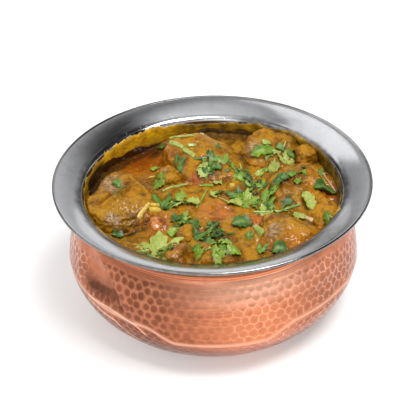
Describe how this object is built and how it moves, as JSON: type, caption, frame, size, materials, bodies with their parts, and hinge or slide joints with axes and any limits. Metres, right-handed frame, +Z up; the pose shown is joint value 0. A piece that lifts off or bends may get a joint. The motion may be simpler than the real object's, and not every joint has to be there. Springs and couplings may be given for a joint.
{
  "type": "bowl of mutton curry",
  "caption": "Mutton curry in a hammered copper bowl with a steel lining: chunks of meat in thick gravy under a flared steel lip.",
  "frame": {"origin": "centre of the base, on the surface the bowl stands on", "axes": "+Z up through the mouth, -Y towards the front of the bowl, where the dent lies to the left, +X to its right"},
  "size_m": [0.15, 0.15, 0.066],
  "materials": {
    "copper": "hammered copper, satin, with a large dent at the front left",
    "steel": "satin stainless steel lining and lip, smeared with gravy inside",
    "gravy": "food: thick glossy curry gravy with spots of red oil and chopped coriander",
    "meat": "food: braised mutton coated in gravy, fibrous where it is torn",
    "tomato": "food: soft cooked tomato in oil"
  },
  "bodies": {
    "root": {"copper_shell": "copper", "steel_bowl": "steel", "gravy": "gravy", "mutton_left": "meat", "mutton_knob": "meat", "mutton_back": "meat", "mutton_right_knob": "meat", "mutton_back_right": "meat", "mutton_right": "meat", "mutton_front_right": "meat", "mutton_right_edge": "meat", "mutton_front": "meat", "mutton_front_left": "meat", "mutton_middle": "meat", "mutton_left_scrap": "meat", "tomato_piece": "tomato"}
  },
  "joints": []
}
